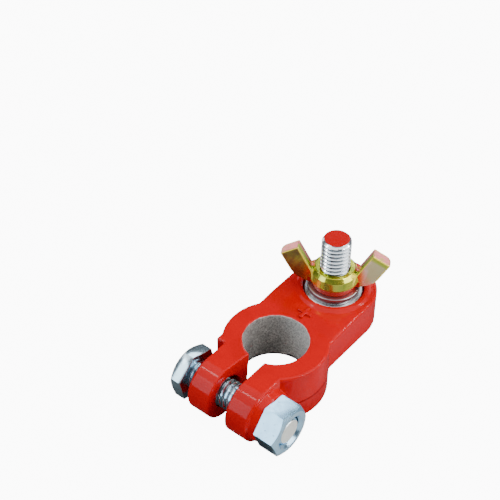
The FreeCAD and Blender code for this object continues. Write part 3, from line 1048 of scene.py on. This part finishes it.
chromate = {
    "tone": (0.85, 0.80, 0.42, 1),
    "polish": 0.17,
    "filmShare": 0.9,  # how much of the zinc's own tone the film hides
    "specular": 0.05,
    "olive": (0.15, 0.085, 0.012, 1),
    "green": (0.44, 0.54, 0.025, 1),
    "gold": (0.90, 0.78, 0.05, 1),
    # painted dark reflection on the collar's front
    "paintedDarkReflection": (0.08, 0.06, 0.010, 1),
    "rose": (0.95, 0.24, 0.28, 1),
    "blush": (0.92, 0.66, 0.54, 1),
    # painted reflection of the red casting, dark, on the foot under the collar
    "paintedRedReflection": (0.50, 0.012, 0.004, 1),
    # painted highlight along the wings' rim lines
    "rim": (1.0, 0.80, 0.06, 1),
    "drift": (190.0, 3.0, 0.55, 0.6),
    "spots": (620.0, 3.0, 0.6, 0.4),
    # How each colour turns green with the drift or the spots, and how far
    "goldSpan": (0.38, 0.62),
    "oliveSpan": (0.44, 0.70),
    "oliveShare": (0.0, 0.5),
    "blushSpan": (0.50, 0.66),
    "blushShare": (0.0, 0.4),
    "blushTipSpan": (28.6 * mm, 30.2 * mm),  # along the lean of the end faces
    "roseSpan": (0.52, 0.66),
    "roseShare": (0.0, 0.7),
}

wingFaces = {
    "turn": 29.3,  # degrees round from +X
    "reach": 7.5 * mm,  # where a wing's colour takes over from the collar's
    "fade": 1.0 * mm,
    "from": (5.2 * mm, 5.6 * mm),  # where the wings leave the collar
    "endLean": 31.7,  # degrees from upright of what their end, inner and lower faces look towards
    "innerLean": -62.9,
    "backLean": 117.9,
    "end": 30.90 * mm,  # how far each face is along its lean
    "inner": 4.88 * mm,
    "faceFade": 0.05 * mm,
    # where the painted highlights along the wings' rim lines lie
    "endRim": (30.62 * mm, 30.78 * mm),
    "innerRim": (4.58 * mm, 4.74 * mm),
    "backRim": (-0.45 * mm, -0.30 * mm),
    "sideRim": (1.24 * mm, 1.38 * mm),  # from the middle of the wings' thickness
    "rimHighlightShare": 0.9,
    "behind": (-0.3 * mm, 0.5 * mm),
    # where the painted red reflection on the foot lies
    "footBelow": (20.7 * mm, 20.3 * mm),
    "footWithin": (7.4 * mm, 6.9 * mm),
    "patchTurn": 38.38,  # painted dark reflection on the collar's front, facing the camera, in degrees and then across it
    "patchLeft": (-3.4 * mm, -2.2 * mm),
    "patchRight": (3.0 * mm, 1.8 * mm),
    "patchBelow": (23.0 * mm, 22.6 * mm),
    "patchSpan": (0.30, 0.60),
    "patchShare": (0.8, 0.35),
}

wingMetal = {
    "collar": 0.95,
    "leftHeights": (21 * mm, 27 * mm),
    "left": (0.85, 0.4),
    "right": 0.55,
    "rose": 0.55,
    # less metal on the foot so its painted reflection shows
    "foot": 0.1,
    # less metal on the rim lines so their painted highlight shows bright
    "rim": 0.15,
}


def faceMasks(tree, place, drift):  # how much each face or part of the wing nut a point belongs to
    x, y, z = axesOf(tree, place)
    y = minus(tree, y, middleOf("wing_nut").y)
    along, through = turned(tree, x, y, wingFaces["turn"])
    across, away = turned(tree, x, y, wingFaces["patchTurn"])
    reach = maths(tree, "ABSOLUTE", along)
    toEnd = leaning(tree, reach, z, wingFaces["endLean"])
    toInner = leaning(tree, reach, z, wingFaces["innerLean"])
    toBack = leaning(tree, reach, z, wingFaces["backLean"])
    edge, fade = wingFaces["reach"], wingFaces["fade"]
    winged = ranged(tree, reach, wingFaces["from"])
    inner = times(tree, ranged(tree, toInner, spanAt(wingFaces["inner"], wingFaces["faceFade"])), winged)
    # the rim lines' painted highlights
    rimHighlights = either(tree, ranged(tree, toEnd, wingFaces["endRim"]), ranged(tree, toInner, wingFaces["innerRim"]))
    rimHighlights = either(tree, rimHighlights, ranged(tree, toBack, wingFaces["backRim"]))
    side = ranged(tree, maths(tree, "ABSOLUTE", through), wingFaces["sideRim"])
    return {
        "left": ranged(tree, along, spanAt(-edge, -fade)),
        "right": ranged(tree, along, spanAt(edge, fade)),
        "tip": ranged(tree, toEnd, chromate["blushTipSpan"]),
        "leftMetal": ranged(tree, z, wingMetal["leftHeights"], wingMetal["left"]),
        "end": ranged(tree, toEnd, spanAt(wingFaces["end"], wingFaces["faceFade"])),
        "inner": inner,
        "behind": times(tree, inner, ranged(tree, through, wingFaces["behind"])),
        "rimHighlights": times(tree, rimHighlights, side, winged),
        "foot": times(
            tree, ranged(tree, z, wingFaces["footBelow"]), ranged(tree, reach, wingFaces["footWithin"]),
        ),
        "patch": times(
            tree, ranged(tree, across, wingFaces["patchLeft"]), ranged(tree, across, wingFaces["patchRight"]),
            ranged(tree, z, wingFaces["patchBelow"]),
            ranged(tree, drift, wingFaces["patchSpan"], wingFaces["patchShare"]),
        ),
    }


def filmColor(tree, masks, drift, spots, zinc):
    green = chromate["green"]
    gold = mixColor(tree, ranged(tree, drift, chromate["goldSpan"]), chromate["gold"], green)
    olive = ranged(tree, drift, chromate["oliveSpan"], chromate["oliveShare"])
    olive = mixColor(tree, olive, chromate["olive"], green)
    blush = either(tree, ranged(tree, drift, chromate["blushSpan"], chromate["blushShare"]), masks["tip"])
    blush = mixColor(tree, blush, chromate["blush"], green)
    rose = ranged(tree, spots, chromate["roseSpan"], chromate["roseShare"])
    rose = mixColor(tree, rose, chromate["rose"], green)
    # painted reflection: a dark patch on the collar's front, turned with the camera
    color = mixColor(tree, masks["patch"], gold, chromate["paintedDarkReflection"])
    color = mixColor(tree, masks["left"], color, olive)
    color = mixColor(tree, masks["right"], color, blush)
    color = mixColor(tree, masks["end"], color, rose)
    color = mixColor(tree, masks["inner"], color, green)
    color = mixColor(tree, masks["behind"], color, chromate["rose"])
    # painted highlight: bright yellow lines along the wings' rim lines
    color = mixColor(tree, times(tree, masks["rimHighlights"], wingFaces["rimHighlightShare"]), color, chromate["rim"])
    color = mixColor(tree, chromate["filmShare"], zinc, color)
    # painted reflection: the foot under the collar is painted a dark red reflected from the casting
    return mixColor(tree, masks["foot"], color, chromate["paintedRedReflection"])


def filmMetal(tree, masks):
    metal = mixValue(tree, masks["left"], wingMetal["collar"], masks["leftMetal"])
    metal = mixValue(tree, masks["right"], metal, wingMetal["right"])
    metal = mixValue(tree, either(tree, masks["end"], masks["behind"]), metal, wingMetal["rose"])
    metal = mixValue(tree, masks["foot"], metal, wingMetal["foot"])
    return mixValue(tree, masks["rimHighlights"], metal, wingMetal["rim"])


def yellowZinc():
    made, tree, shader, place, skin = zincMaterial("yellowZinc", chromate["tone"], chromate["polish"])
    drift = noise(tree, place, *chromate["drift"])
    spots = noise(tree, place, *chromate["spots"])
    masks = faceMasks(tree, place, drift)
    plug(tree, shader.inputs["Base Color"], filmColor(tree, masks, drift, spots, skin["Color"]))
    plug(tree, shader.inputs["Metallic"], filmMetal(tree, masks))
    shader.inputs["Specular IOR Level"].default_value = chromate["specular"]
    return made


placeCamera()
lightSky()
hangLights()
letGo()
layFloor()
castBody()
makeClampBolt()
makeHexNut()
makeStudBolt()
makeFlatWasher()
makeSpringWasher()
makeWingNut()
letGo()
